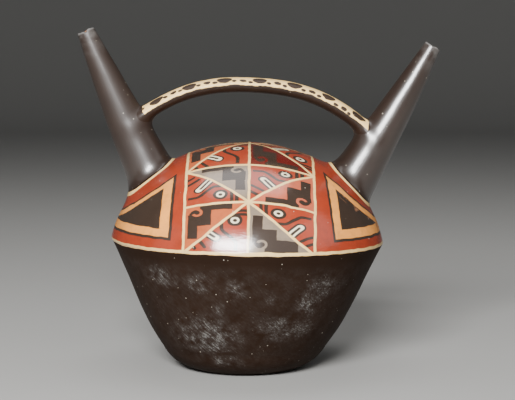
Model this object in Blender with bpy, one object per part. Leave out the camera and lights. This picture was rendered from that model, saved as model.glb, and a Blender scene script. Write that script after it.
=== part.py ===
"""A double-spout vessel: one hollow piece of fired clay.

A bowl with a small flat base rises to a sharp keel and closes in a low dome. Two tapering spouts stand
on the dome and lean apart, and a strap handle bridges them. The bores of both spouts open into the
body. Metres, +Z up, origin at the centre of the base, spouts along X, painted front towards -Y.
"""

from dataclasses import dataclass
from math import acos, atan2, cos, hypot, pi, radians, sin, sqrt, tan

import bmesh
import bpy
from mathutils import Vector

# Body, turned about the vertical axis
KEEL_RADIUS = 0.0841
KEEL_HEIGHT = 0.0793
KEEL_EDGE_RADIUS = 0.0015
BASE_CORNER_RADIUS = 0.0440
BASE_EDGE_RADIUS = 0.0250
BOWL_BULGE = 0.0018
DOME_RISE = 0.0604
DOME_CENTRE_DROP = 0.0135
BODY_WALL = 0.0050
INNER_EDGE_RADIUS = 0.0060

# Spouts, each measured along its own axis from the dome's surface
LEFT_SPOUT_REACH = 0.0600
LEFT_SPOUT_LEAN = radians(26.1)
LEFT_SPOUT_LENGTH = 0.0971
LEFT_SPOUT_BOW = 0.0010
RIGHT_SPOUT_REACH = 0.0636
RIGHT_SPOUT_LEAN = radians(29.1)
RIGHT_SPOUT_LENGTH = 0.0988
RIGHT_SPOUT_BOW = 0.0012
SPOUT_FOOT_RADIUS = 0.0152
SPOUT_TIP_RADIUS = 0.0051
SPOUT_FOOT_WALL = 0.0040
SPOUT_TIP_WALL = 0.0019
SPOUT_LIP_ROUND = 0.0006
SPOUT_INNER_FILLET = 0.0100
SPOUT_OUTER_FILLET = 0.0045

# Strap bridge, arched from one spout's axis to the other's. A power of 2 makes its arch a parabola,
# and a higher one makes the shoulders of the arch fuller
LEFT_JOIN_HEIGHT = 0.0350
RIGHT_JOIN_HEIGHT = 0.0320
BRIDGE_RISE = 0.0285
BRIDGE_WIDTH = 0.0190
BRIDGE_THICKNESS = 0.0091
BRIDGE_ARCH_POWER = 2.42
BRIDGE_TOP_FILLET = 0.0022
BRIDGE_UNDER_FILLET = 0.0075
BRIDGE_END_SHARE = 0.80
BRIDGE_SECTION_POWER = 2.3

# The hand-built lean of all that stands above the base, towards +X
LEAN = radians(1.27)
KEEL_SHIFT = 0.0019

# Fineness of the mesh and of the search for a seam, and how far a joined piece reaches into its host
BODY_SEGMENTS = 64
CAVITY_SEGMENTS = 40
SPOUT_SEGMENTS = 24
BORE_SEGMENTS = 16
BRIDGE_SEGMENTS = 18
DOME_ROWS = 15
BOWL_ROWS = 6
EDGE_STEPS = 5
FILLET_STEPS = 4
SPOUT_ROWS = 6
BRIDGE_ROWS = 16
BORE_ROWS = 3
HALVINGS = 40
SKIRT_SINK = 0.0004
ROOT_DEPTH = 0.0025

DOME_CENTRE_HEIGHT = KEEL_HEIGHT - DOME_CENTRE_DROP
DOME_HALF_HEIGHT = DOME_RISE + DOME_CENTRE_DROP
DOME_HALF_WIDTH = KEEL_RADIUS / sqrt(1 - (DOME_CENTRE_DROP / DOME_HALF_HEIGHT) ** 2)


def leaned(point):
    """Where a point of the upright vessel ends up: the base stays flat, the dome and all on it tip as one."""
    share = min(point.z / KEEL_HEIGHT, 1.0)
    angle = LEAN * share * share * (3 - 2 * share)
    pivot = min(point.z, KEEL_HEIGHT)
    above = point.z - pivot
    return Vector(
        (
            KEEL_SHIFT * share + point.x * cos(angle) + above * sin(angle),
            point.y,
            pivot - point.x * sin(angle) + above * cos(angle),
        )
    )


def slip(name, colour, roughness):
    """A Principled material of one coloured clay slip."""
    material = bpy.data.materials.new(name)
    material.use_nodes = True
    shader = material.node_tree.nodes["Principled BSDF"]
    shader.inputs["Base Color"].default_value = (*colour, 1)
    shader.inputs["Roughness"].default_value = roughness
    shader.inputs["Metallic"].default_value = 0.0
    return material


def placed(name, bm, materials, paint=None):
    """The bmesh as an object of its own: leaned, closed, facing outwards and smooth between sharp edges."""
    for vertex in bm.verts:
        vertex.co = leaned(vertex.co)
    bmesh.ops.recalc_face_normals(bm, faces=bm.faces)
    mesh = bpy.data.meshes.new(name)
    for material in materials:
        mesh.materials.append(material)
    if paint:
        for face in bm.faces:
            face.material_index = paint(face.calc_center_median())
    bm.to_mesh(mesh)
    bm.free()
    mesh.shade_smooth()
    mesh.set_sharp_from_angle(angle=radians(40))
    obj = bpy.data.objects.new(name, mesh)
    bpy.context.scene.collection.objects.link(obj)
    return obj


def helper(obj):
    """Marks an object that only joins or cuts another."""
    obj.hide_render = True
    obj.display_type = "WIRE"
    return obj


def skinned(rings):
    """A closed bmesh of quads through rings of equally many points, with a flat cap on either end."""
    bm = bmesh.new()
    loops = [[bm.verts.new(point) for point in ring] for ring in rings]
    for lower, upper in zip(loops, loops[1:]):
        for a in range(len(lower)):
            b = (a + 1) % len(lower)
            bm.faces.new((lower[a], lower[b], upper[b], upper[a]))
    bm.faces.new(loops[0])
    bm.faces.new(loops[-1])
    return bm


def rounded_corner(before, corner, after, radius, steps):
    """Points of the arc that rounds the corner between two straight runs of an outline."""
    before, corner, after = Vector(before), Vector(corner), Vector(after)
    back, on = (before - corner).normalized(), (after - corner).normalized()
    half = acos(max(-1.0, min(1.0, back.dot(on)))) / 2
    centre = corner + (back + on).normalized() * (radius / sin(half))
    start, end = corner + back * radius / tan(half), corner + on * radius / tan(half)
    first = atan2(start.y - centre.y, start.x - centre.x)
    turn = (atan2(end.y - centre.y, end.x - centre.x) - first + pi) % (2 * pi) - pi
    return [
        (centre.x + radius * cos(first + turn * k / steps), centre.y + radius * sin(first + turn * k / steps))
        for k in range(steps + 1)
    ]


def crossing(path, outside, inside, depth):
    """The parameter at which a path from outside to inside goes through the surface where depth is zero."""
    for _ in range(HALVINGS):
        middle = (outside + inside) / 2
        if depth(path(middle)) > 0:
            outside = middle
        else:
            inside = middle
    return inside


def dome_point(angle, inset):
    """(radius, height) on the dome, set in from its surface, at an angle up its ellipse."""
    return (
        (DOME_HALF_WIDTH - inset) * cos(angle),
        DOME_CENTRE_HEIGHT + (DOME_HALF_HEIGHT - inset) * sin(angle),
    )


def body_outline(inset, edge_radius):
    """(radius, height) from the base's centre to the dome's top, set in from the outer surface by inset."""
    slant = Vector((KEEL_RADIUS - BASE_CORNER_RADIUS, KEEL_HEIGHT)).normalized()
    inward = Vector((-slant.y, slant.x))
    foot = Vector((BASE_CORNER_RADIUS, 0)) + inward * inset
    foot += slant * (inset - foot.y) / slant.y

    def on_dome(angle):
        return Vector(dome_point(angle, inset))

    def inside_bowl(point):
        return (point - foot).dot(inward)

    half_width, half_height = DOME_HALF_WIDTH - inset, DOME_HALF_HEIGHT - inset
    keel_angle = crossing(on_dome, pi / 2, -pi / 2, inside_bowl)
    keel = on_dome(keel_angle)
    up = keel + Vector((-half_width * sin(keel_angle), half_height * cos(keel_angle)))

    base = rounded_corner((0, inset), foot, keel, max(BASE_EDGE_RADIUS - inset, edge_radius), EDGE_STEPS)
    edge = rounded_corner(foot, keel, up, edge_radius, EDGE_STEPS)
    wall = []
    for row in range(1, BOWL_ROWS):
        share = row / BOWL_ROWS
        bulge = BOWL_BULGE * share * (1 - share) ** 2 * 27 / 4
        point = Vector(base[-1]).lerp(Vector(edge[0]), share) - inward * bulge
        wall.append((point.x, point.y))
    start = atan2((edge[-1][1] - DOME_CENTRE_HEIGHT) / half_height, edge[-1][0] / half_width)
    dome = [dome_point(start + (pi / 2 - start) * row / DOME_ROWS, inset) for row in range(1, DOME_ROWS)]
    return [(0, inset), *base, *wall, *edge, *dome, (0, dome_point(pi / 2, inset)[1])]


def turned(outline, segments):
    """A closed bmesh of an outline spun about the Z axis, whose first and last points lie on it."""
    bm = bmesh.new()
    points = [bm.verts.new((radius, 0, height)) for radius, height in outline]
    edges = [bm.edges.new(pair) for pair in zip(points, points[1:])]
    bmesh.ops.spin(bm, geom=points + edges, axis=(0, 0, 1), angle=2 * pi, steps=segments, use_merge=True)
    bmesh.ops.remove_doubles(bm, verts=bm.verts, dist=1e-6)
    return bm


@dataclass
class Spout:
    """A tapering spout, bowed a little outwards. Distances along it run from the tip towards the dome."""

    name: str
    side: int
    reach: float
    lean: float
    length: float
    bow: float

    def __post_init__(self):
        height = DOME_CENTRE_HEIGHT + DOME_HALF_HEIGHT * sqrt(1 - (self.reach / DOME_HALF_WIDTH) ** 2)
        self.down = Vector((-self.side * sin(self.lean), 0, -cos(self.lean)))
        self.across = Vector((self.side * cos(self.lean), 0, -sin(self.lean)))
        self.tip = Vector((self.side * self.reach, 0, height)) - self.down * self.length

    def radius(self, along):
        return SPOUT_TIP_RADIUS + (SPOUT_FOOT_RADIUS - SPOUT_TIP_RADIUS) * along / self.length

    def bore(self, along):
        """Radius of the bore, the spout's less its wall, which thickens towards the dome."""
        share = along / self.length
        return self.radius(along) - SPOUT_TIP_WALL - (SPOUT_FOOT_WALL - SPOUT_TIP_WALL) * share

    def axis(self, along):
        share = along / self.length
        return self.tip + self.down * along + self.across * self.bow * 4 * share * (1 - share)

    def point(self, along, radius, turn):
        out = self.across * cos(turn) + Vector((0, sin(turn), 0))
        return self.axis(along) + out * radius

    def depth(self, point):
        """How far a point is outside the spout's surface, below zero inside it."""
        along = (point - self.tip).dot(self.down)
        return (point - self.axis(along)).length - self.radius(along)

    def onto(self, point, sink):
        """The point moved square to the axis to lie a little under the spout's surface."""
        along = (point - self.tip).dot(self.down)
        axis = self.axis(along)
        return axis + (point - axis).normalized() * (self.radius(along) - sink)


def dome_depth(point):
    """Below zero inside the dome, above zero outside it."""
    height = point.z - DOME_CENTRE_HEIGHT
    return hypot(point.x / DOME_HALF_WIDTH, point.y / DOME_HALF_WIDTH, height / DOME_HALF_HEIGHT) - 1


def dome_normal(point):
    return Vector(
        (
            point.x / DOME_HALF_WIDTH**2,
            point.y / DOME_HALF_WIDTH**2,
            (point.z - DOME_CENTRE_HEIGHT) / DOME_HALF_HEIGHT**2,
        )
    ).normalized()


def onto_dome(point, sink):
    """The point moved to lie a little under the dome's surface."""
    centre = Vector((0, 0, DOME_CENTRE_HEIGHT))
    surface = centre + (point - centre) / (dome_depth(point) + 1)
    return surface - dome_normal(surface) * sink


def eased(start, bend, end, share):
    """A point of the quadratic curve that leaves start towards bend and arrives at end."""
    return start.lerp(bend, share).lerp(bend.lerp(end, share), share)


def skirt(host_point, meeting, free_point):
    """The points of one filleted seam line, from the host's surface up to the free stretch."""
    return [eased(host_point, meeting, free_point, step / FILLET_STEPS) for step in range(FILLET_STEPS + 1)]


def spout_solid(spout, materials):
    """The outside of a spout as a solid, flared into the dome at its foot and rounded at its lip."""
    lines = []
    for k in range(SPOUT_SEGMENTS):
        turn = 2 * pi * k / SPOUT_SEGMENTS

        def down_side(along, turn=turn):
            return spout.point(along, spout.radius(along), turn)

        reached = crossing(down_side, 0, spout.length + 2 * SPOUT_FOOT_RADIUS, dome_depth)
        meeting = down_side(reached)
        normal = dome_normal(meeting)
        out = meeting - spout.point(reached, 0, 0)
        out = (out - normal * out.dot(normal)).normalized()
        root = meeting + spout.down * ROOT_DEPTH
        fillet = SPOUT_OUTER_FILLET + (SPOUT_INNER_FILLET - SPOUT_OUTER_FILLET) * (1 - cos(turn)) / 2
        foot = onto_dome(meeting + out * fillet, SKIRT_SINK)
        free = reached - fillet
        line = [root, *skirt(foot, meeting, down_side(free))]
        for row in range(1, SPOUT_ROWS + 1):
            line.append(down_side(free + (SPOUT_LIP_ROUND - free) * row / SPOUT_ROWS))
        line.append(spout.point(0, spout.radius(0) - SPOUT_LIP_ROUND, turn))
        lines.append(line)
    return helper(placed(spout.name, skinned(zip(*lines)), materials))


def bore_cutter(spout, materials):
    """The bore of a spout, from clear above its lip to inside the hollow of the body."""
    start = -4 * SPOUT_LIP_ROUND
    end = spout.length + 2 * BODY_WALL + (SPOUT_FOOT_RADIUS - SPOUT_FOOT_WALL) / 2
    rings = []
    for row in range(BORE_ROWS + 1):
        along = start + (end - start) * row / BORE_ROWS
        turns = [2 * pi * k / BORE_SEGMENTS for k in range(BORE_SEGMENTS)]
        rings.append([spout.point(along, spout.bore(along), turn) for turn in turns])
    return helper(placed(spout.name + "_bore", skinned(rings), materials))


def bridge_solid(left, right, materials):
    """The strap as a solid: an arch of rounded section whose ends flare into both spouts."""
    left_join, right_join = left.length - LEFT_JOIN_HEIGHT, right.length - RIGHT_JOIN_HEIGHT
    start, end = left.axis(left_join), right.axis(right_join)
    half_chord = (end - start).length / 2
    along = (end - start).normalized()
    up = Vector((-along.z, 0, along.x))
    end_half_width = BRIDGE_END_SHARE * (left.radius(left_join) + right.radius(right_join)) / 2

    def middle(place):
        """The strap's middle line: -1 at the left spout's axis, 0 at the crown, 1 at the right one's."""
        rise = BRIDGE_RISE * (1 - abs(place) ** BRIDGE_ARCH_POWER)
        return (start + end) / 2 + along * half_chord * place + up * rise

    def outward(place):
        slope = BRIDGE_RISE * BRIDGE_ARCH_POWER * abs(place) ** (BRIDGE_ARCH_POWER - 1) / half_chord
        return (up + along * (slope if place > 0 else -slope)).normalized()

    def strap(place, turn):
        """A point of the strap's surface, at an angle around its rounded section."""
        half_width = BRIDGE_WIDTH / 2 + (end_half_width - BRIDGE_WIDTH / 2) * place**2
        power = 2 / BRIDGE_SECTION_POWER
        side = abs(cos(turn)) ** power * (1 if cos(turn) > 0 else -1)
        lift = abs(sin(turn)) ** power * (1 if sin(turn) > 0 else -1)
        rim = outward(place) * BRIDGE_THICKNESS / 2 * lift
        return middle(place) + rim + Vector((0, half_width * side, 0))

    lines = []
    for k in range(BRIDGE_SEGMENTS):
        turn = 2 * pi * (k + 0.5) / BRIDGE_SEGMENTS
        ends = []
        for spout, side in ((left, -1), (right, 1)):
            reached = crossing(lambda place, turn=turn: strap(place, turn), 0, side, spout.depth)
            meeting = strap(reached, turn)
            normal = (meeting - spout.onto(meeting, 2 * SKIRT_SINK)).normalized()
            out = meeting - middle(reached)
            out = (out - normal * out.dot(normal)).normalized()
            fillet = BRIDGE_UNDER_FILLET + (BRIDGE_TOP_FILLET - BRIDGE_UNDER_FILLET) * (1 + sin(turn)) / 2
            foot = spout.onto(meeting + out * fillet, SKIRT_SINK)
            free = reached - side * fillet / half_chord
            root = strap(reached + side * ROOT_DEPTH / half_chord, turn)
            ends.append((free, [root, *skirt(foot, meeting, strap(free, turn))]))
        (first, left_line), (last, right_line) = ends
        span = [strap(first + (last - first) * row / BRIDGE_ROWS, turn) for row in range(1, BRIDGE_ROWS)]
        lines.append([*left_line, *span, *reversed(right_line)])
    return helper(placed("bridge", skinned(zip(*lines)), materials))


def combine(target, other, operation):
    modifier = target.modifiers.new(f"{operation.lower()} {other.name}", "BOOLEAN")
    modifier.object = other
    modifier.operation = operation
    modifier.solver = "EXACT"
    modifier.material_mode = "TRANSFER"


def build():
    for obj in list(bpy.data.objects):
        bpy.data.objects.remove(obj, do_unlink=True)

    dark = slip("dark brown burnished slip", (0.040, 0.027, 0.021), 0.32)
    red = slip("red painted slip", (0.330, 0.060, 0.030), 0.36)
    cream = slip("cream painted slip", (0.760, 0.620, 0.420), 0.42)

    vessel = placed(
        "vessel",
        turned(body_outline(0, KEEL_EDGE_RADIUS), BODY_SEGMENTS),
        (dark, red),
        lambda centre: int(centre.z + (centre.x - KEEL_SHIFT) * tan(LEAN) > KEEL_HEIGHT),
    )
    left = Spout("left_spout", -1, LEFT_SPOUT_REACH, LEFT_SPOUT_LEAN, LEFT_SPOUT_LENGTH, LEFT_SPOUT_BOW)
    right = Spout("right_spout", 1, RIGHT_SPOUT_REACH, RIGHT_SPOUT_LEAN, RIGHT_SPOUT_LENGTH, RIGHT_SPOUT_BOW)
    combine(vessel, spout_solid(left, [dark]), "UNION")
    combine(vessel, spout_solid(right, [dark]), "UNION")
    combine(vessel, bridge_solid(left, right, [cream]), "UNION")
    hollow = placed("hollow", turned(body_outline(BODY_WALL, INNER_EDGE_RADIUS), CAVITY_SEGMENTS), [dark])
    combine(vessel, helper(hollow), "DIFFERENCE")
    combine(vessel, bore_cutter(left, [dark]), "DIFFERENCE")
    combine(vessel, bore_cutter(right, [dark]), "DIFFERENCE")


build()
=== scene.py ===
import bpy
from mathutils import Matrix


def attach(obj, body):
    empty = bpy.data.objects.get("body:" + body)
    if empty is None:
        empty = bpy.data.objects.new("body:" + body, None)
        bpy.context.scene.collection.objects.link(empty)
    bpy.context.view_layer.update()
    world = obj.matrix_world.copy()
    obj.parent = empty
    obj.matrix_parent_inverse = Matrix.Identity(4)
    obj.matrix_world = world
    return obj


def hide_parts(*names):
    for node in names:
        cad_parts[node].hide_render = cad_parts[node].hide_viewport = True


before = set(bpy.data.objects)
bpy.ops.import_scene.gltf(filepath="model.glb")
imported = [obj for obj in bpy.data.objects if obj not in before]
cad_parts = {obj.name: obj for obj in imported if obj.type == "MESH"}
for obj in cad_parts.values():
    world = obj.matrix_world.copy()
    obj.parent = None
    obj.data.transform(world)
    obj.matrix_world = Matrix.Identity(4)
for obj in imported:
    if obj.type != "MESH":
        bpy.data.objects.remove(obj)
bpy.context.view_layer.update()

import ast
from math import cos, pi, radians, sin, sqrt, tan

import bmesh
import bpy
import numpy as np
from mathutils import Matrix, Vector, noise

bl_info = {
    "name": "Double-spout vessel",
    "version": (1, 0, 0),
    "blender": (4, 5, 0),
    "location": "3D View > Sidebar > Vessel",
    "description": "Forms, slips, burnishes and paints a double-spout vessel and lights it on a plain floor",
    "category": "Object",
}

# Metres to the millimetres that the painted patterns are laid out in
MM = 1000

# Image that the camera frames, in pixels: its size, and where the vessel's axis and eye level lie in it
IMAGE_WIDTH, IMAGE_HEIGHT = 515, 400
AXIS_X, HORIZON_Y = 244.3, 58.6
FOCAL_PIXELS = 1500
SENSOR_WIDTH = 36
CAMERA_DISTANCE, CAMERA_HEIGHT = 0.93, 0.19096

# Fineness of the meshes: metres between rows, and counts
BODY_SPACING, BODY_SEGMENTS = 0.0019, 256
HOLLOW_SPACING, HOLLOW_SEGMENTS = 0.004, 120
FLAT_STEPS, BASE_STEPS, EDGE_STEPS = 6, 14, 6
TUBE_SIDES, TUBE_ROWS = 64, 80
STRAP_SIDES, STRAP_ROWS = 56, 96
ARCH_STEPS, GIRTH_STEPS = 241, 361
SWEEP_STEPS, FLOOR_SEGMENTS = 12, 96
SHARP_ANGLE = radians(65)

# Rounds of the search for the keel and of the pull onto the smoothed surface. Its slope is read over a step
# in metres, and the slope's square counts as no less than a least one, so that no pull leaps
HALVINGS, PULLS, SLOPE_STEP, LEAST_SLOPE = 40, 4, 0.00005, 0.2

# How far below the keel the painted faces end, in metres. How far the spouts run on inside the dome, in
# walls, and the bores above the lip, in lip roundings
PAINTING_DROP, WALLS_INSIDE, BORE_ABOVE = 0.005, 3, 0.4

# Wear of the lips in metres: depth of its broad and its fine waves, and how far it reaches down and up from
# the lip. Then the chip's place and half width in radians round the lip
LIP_WAVES, FINE_LIP_WAVES, LIP_REACH, LIP_TOP = 0.00022, 0.00013, 0.004, 0.001
CHIP_PLACE, CHIP_WIDTH = -1.6, 0.22

# Waves of the hand-smoothed surface: broad and fine ones per metre, how deep the fine ones are beside the
# broad, and the height in metres over which they grow up from the flat base
BROAD_WAVES, FINE_WAVES, FINE_SHARE, BASE_FADE = 28, 90, 0.35, 0.006

# Noises of the slips. A scale is one over the width of a feature in millimetres. Real grit is finer than
# 0.2 mm, and polishing strokes lie closer than 1 mm. Both are drawn coarser so that they show
CLOUD = {"Scale": 1 / 16, "Detail": 3.0}
STROKE = {"Scale": 1 / 1.1}
GRIT = {"Scale": 1 / 0.45, "Roughness": 0.7}
GRAIN = {"Scale": 1 / 0.8, "Detail": 3.0, "Roughness": 0.8}
SWAY = {"Scale": 1 / 7, "Detail": 4.0, "Roughness": 0.65}
SCRATCH = {"Scale": 1 / 1.2, "Detail": 3.0}
FAR_CLOUD = {"Scale": 1 / 30}
BLOTCH = {"Scale": 1 / 5, "Detail": 3.0, "Roughness": 0.6}

# Cells 2.2 mm wide, of which some hold a pale fleck
FLECKS = {"Scale": 1 / 2.2, "Randomness": 1.0}

# Depth of the slips' relief in metres
RELIEF = 0.0002

# Millimetres: mean leg of the band's triangles, softness of a painted edge, and how far up the spout from
# its seam with the dome a foot ring starts
LEG, SOFT_EDGE, RING_START = 34.5, 0.3, 0.3

SLIP = "Burnished brown-black slip"
BOWL_SLIP = "Scuffed brown-black slip"
PAINTED = "Burnished polychrome slip painting"
STRAP_SLIP = "Dotted cream slip on the strap"
CLAY = "Bare fired clay"


def linear(colour):
    """An sRGB hex colour as linear red, green and blue."""
    channels = [int(colour[k : k + 2], 16) / 255 for k in (1, 3, 5)]
    return tuple(c / 12.92 if c <= 0.04045 else ((c + 0.055) / 1.055) ** 2.4 for c in channels)


def length(name, default, description):
    """A property that holds a length in metres."""
    return bpy.props.FloatProperty(
        name=name, default=default, description=description, min=0, precision=5, unit="LENGTH"
    )


def angle(name, degrees, description):
    """A property that holds an angle."""
    return bpy.props.FloatProperty(
        name=name, default=radians(degrees), description=description, subtype="ANGLE", unit="ROTATION"
    )


def exponent(name, default, description):
    """A property that holds the exponent of a curve."""
    return bpy.props.FloatProperty(name=name, default=default, description=description, min=1)


def colour(name, default, description):
    """A property that holds a colour, given as sRGB hex."""
    return bpy.props.FloatVectorProperty(
        name=name, default=linear(default), description=description, subtype="COLOR", size=3, min=0, max=1
    )


class BodySizes(bpy.types.PropertyGroup):
    keel_radius: length("Keel radius", 0.0841, "Greatest radius of the body, at the keel")
    keel_height: length("Keel height", 0.0793, "Height of the keel above the base")
    keel_edge: length("Keel edge radius", 0.0015, "Rounding of the keel's edge")
    base_corner: length("Base corner radius", 0.0440, "Radius at which the bowl's wall would meet the floor")
    base_edge: length("Base edge radius", 0.0250, "Rounding between the flat base and the bowl")
    bowl_bulge: length("Bowl bulge", 0.0018, "How far the bowl swells out low on its wall")
    dome_rise: length("Dome rise", 0.0598, "Height of the dome's crown above the keel")
    dome_drop: length("Dome centre drop", 0.0135, "How far below the keel the dome's ellipse has its centre")
    wall: length("Wall", 0.0050, "Thickness of the body's wall")
    inner_edge: length("Inner edge radius", 0.0060, "Rounding of the hollow behind the keel")
    lean: angle("Lean", 1.27, "How far the dome and all on it tip towards the right spout")
    keel_shift: length("Keel shift", 0.0019, "How far the keel stands to the right of the base")
    unevenness: length("Unevenness", 0.00030, "How far the hand-smoothed surface strays from a true one")


class SpoutSizes(bpy.types.PropertyGroup):
    left_reach: length("Left reach", 0.0600, "Distance of the left spout's foot from the body's axis")
    left_lean: angle("Left lean", 25.6, "Lean of the left spout from the upright")
    left_length: length("Left length", 0.0967, "Length of the left spout from tip to dome")
    left_bow: length("Left bow", 0.0004, "How far the left spout bows outwards")
    right_reach: length("Right reach", 0.0632, "Distance of the right spout's foot from the body's axis")
    right_lean: angle("Right lean", 29.4, "Lean of the right spout from the upright")
    right_length: length("Right length", 0.0982, "Length of the right spout from tip to dome")
    right_bow: length("Right bow", 0.0004, "How far the right spout bows outwards")
    foot_radius: length("Foot radius", 0.0152, "Radius of a spout where it meets the dome")
    tip_radius: length("Tip radius", 0.0053, "Radius of a spout at its lip")
    swell: length("Swell", 0.0004, "How far a spout's sides swell between its lip and the dome")
    foot_wall: length("Foot wall", 0.0040, "Thickness of a spout's wall at the dome")
    tip_wall: length("Tip wall", 0.0019, "Thickness of a spout's wall at the lip")
    lip: length("Lip rounding", 0.0007, "Rounding of the lip, inside and outside")
    inner_fillet: length("Inner fillet", 0.0150, "Reach of the clay smoothed into the foot under the strap")
    outer_fillet: length("Outer fillet", 0.0068, "Reach of the clay smoothed into the foot's outer side")
    notch: length("Lip notch", 0.0008, "Depth of the small chip in the left spout's lip")


class StrapSizes(bpy.types.PropertyGroup):
    left_join: length("Left join", 0.0328, "Distance along the left spout from the dome to the strap")
    right_join: length("Right join", 0.0309, "Distance along the right spout from the dome to the strap")
    rise: length("Rise", 0.0296, "Height of the arch above the line between its ends")
    width: length("Width", 0.0190, "Width of the strap from front to back")
    thickness: length("Thickness", 0.0091, "Thickness of the strap")
    arch_power: exponent("Arch power", 2.42, "2 makes the arch a parabola, more fills its shoulders")
    section_power: exponent("Section power", 2.3, "2 makes the section an ellipse, more squares it")
    top_fillet: length("Top fillet", 0.0050, "Reach of the clay smoothed into a spout above the strap")
    under_fillet: length("Under fillet", 0.0112, "Reach of the clay smoothed into a spout below the strap")


class PatternSizes(bpy.types.PropertyGroup):
    left_width: length("Left width", 0.0370, "Width of the painted band left of its middle line")
    right_width: length("Right width", 0.0385, "Width of the painted band right of its middle line")
    pitch: length("Row pitch", 0.0317, "Height of a row of the band, along the dome")
    first_row: length("First row", 0.01517, "Arc from the dome's centre plane up to the band's first row")
    line: length("Line", 0.0015, "Width of the cream lines")
    ring: length("Foot ring", 0.0025, "Width of the cream ring round a spout's foot")
    ring_bulge: length("Ring bulge", 0.0021, "How much further out the rings run at the front and back")
    waver: length("Brush waver", 0.0006, "How far the brush strayed from true lines")
    dot_period: length("Dot period", 0.0212, "Distance between the large dots along the strap")


class SlipColours(bpy.types.PropertyGroup):
    dark: colour("Dark slip", "#281c15", "Brown-black slip of bowl and spouts, and of the strap's underside")
    line: colour("Cream slip", "#fcd48c", "Cream slip of the lines, the rings and the strap")
    tan: colour("Tan slip", "#f5a24c", "Tan slip of the bands in the side panels")
    red: colour("Red slip", "#9a3820", "Red slip of the ground round the side panels")
    bright: colour("Bright red slip", "#9e3b23", "Bright red slip behind the eyes and mouths")
    orange: colour("Orange slip", "#bb5f36", "Orange slip behind some of the stepped frets")
    salmon: colour("Salmon slip", "#c06043", "Salmon slip behind some of the stepped frets")
    grey: colour("Grey slip", "#8c7b69", "Grey slip behind some of the stepped frets")
    maroon: colour("Maroon slip", "#621d18", "Dark red slip behind some of the stepped frets")
    fret: colour("Fret slip", "#382c24", "Brown slip of the stepped frets and the painted outlines")
    white: colour("White slip", "#fbeecb", "White slip of the eyes and mouths")
    clay: colour("Fired clay", "#9a6a4c", "Bare clay inside the vessel")
    bloom: colour("Mineral bloom", "#8d8c89", "Grey of the scuffed minerals on the bowl and the worn lips")
    fleck: colour("Fleck", "#d3cbbb", "Pale flecks where the slip has popped off grains of grit")


OPERATIONS = {
    ast.Add: "ADD", ast.Sub: "SUBTRACT", ast.Mult: "MULTIPLY", ast.Div: "DIVIDE", ast.Mod: "MODULO",
    ast.Lt: "LESS_THAN", ast.Gt: "GREATER_THAN", "abs": "ABSOLUTE", "sqrt": "SQRT", "power": "POWER",
    "sin": "SINE", "cos": "COSINE", "atan2": "ARCTAN2", "sign": "SIGN", "floor": "FLOOR",
    "fraction": "FRACT", "least": "MINIMUM", "most": "MAXIMUM", "clamped": "ADD",
}


def add(tree, kind, inputs=(), **settings):
    """Adds a node with its settings, and sets or links its inputs, given in order or by name."""
    node = tree.nodes.new(kind)
    for name, value in settings.items():
        setattr(node, name, value)
    for key, value in inputs.items() if isinstance(inputs, dict) else enumerate(inputs):
        for source in value if isinstance(value, list) else [value]:
            if isinstance(source, bpy.types.NodeSocket):
                tree.links.new(source, node.inputs[key])
            elif source is not None:
                node.inputs[key].default_value = source
    return node


def worked_out(tree, text, **names):
    """Adds the Math nodes for lines of arithmetic, and gives every name in them with its socket."""

    def chained(values, operation, clamp):
        result = values[0]
        for value in values[1:] or [None]:
            node = add(tree, "ShaderNodeMath", (result, value), operation=operation, use_clamp=clamp)
            result = node.outputs[0]
        return result

    def socket(term):
        if isinstance(term, ast.Constant):
            return term.value
        if isinstance(term, ast.Name):
            return names[term.id]
        if isinstance(term, ast.UnaryOp):
            value = socket(term.operand)
            return -value if isinstance(value, (int, float)) else chained((0, value), "SUBTRACT", False)
        if isinstance(term, ast.BinOp):
            return chained([socket(term.left), socket(term.right)], OPERATIONS[type(term.op)], False)
        if isinstance(term, ast.Compare):
            values = [socket(term.left), socket(term.comparators[0])]
            return chained(values, OPERATIONS[type(term.ops[0])], False)
        values, name = [socket(part) for part in term.args], term.func.id
        if name in names:
            return names[name](*values)
        if name == "clamped":
            values.append(0)
        return chained(values, OPERATIONS[name], name == "clamped")

    for statement in ast.parse(text).body:
        names[statement.targets[0].id] = socket(statement.value)
    return names


def group(name, kind, inputs, outputs):
    """A new node group with its named sockets, and the sockets of its input and output nodes."""
    tree = bpy.data.node_groups.new(name, kind)
    for in_out, sockets in (("INPUT", inputs), ("OUTPUT", outputs)):
        for socket, sort in sockets.items():
            tree.interface.new_socket(socket, in_out=in_out, socket_type="NodeSocket" + sort)
    return tree, tree.nodes.new("NodeGroupInput").outputs, tree.nodes.new("NodeGroupOutput").inputs


def dome_ellipse(body):
    """Half width, half height and centre height of the ellipse that the dome is turned from."""
    half_height = body.dome_rise + body.dome_drop
    half_width = body.keel_radius / sqrt(1 - (body.dome_drop / half_height) ** 2)
    return half_width, half_height, body.keel_height - body.dome_drop


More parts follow.
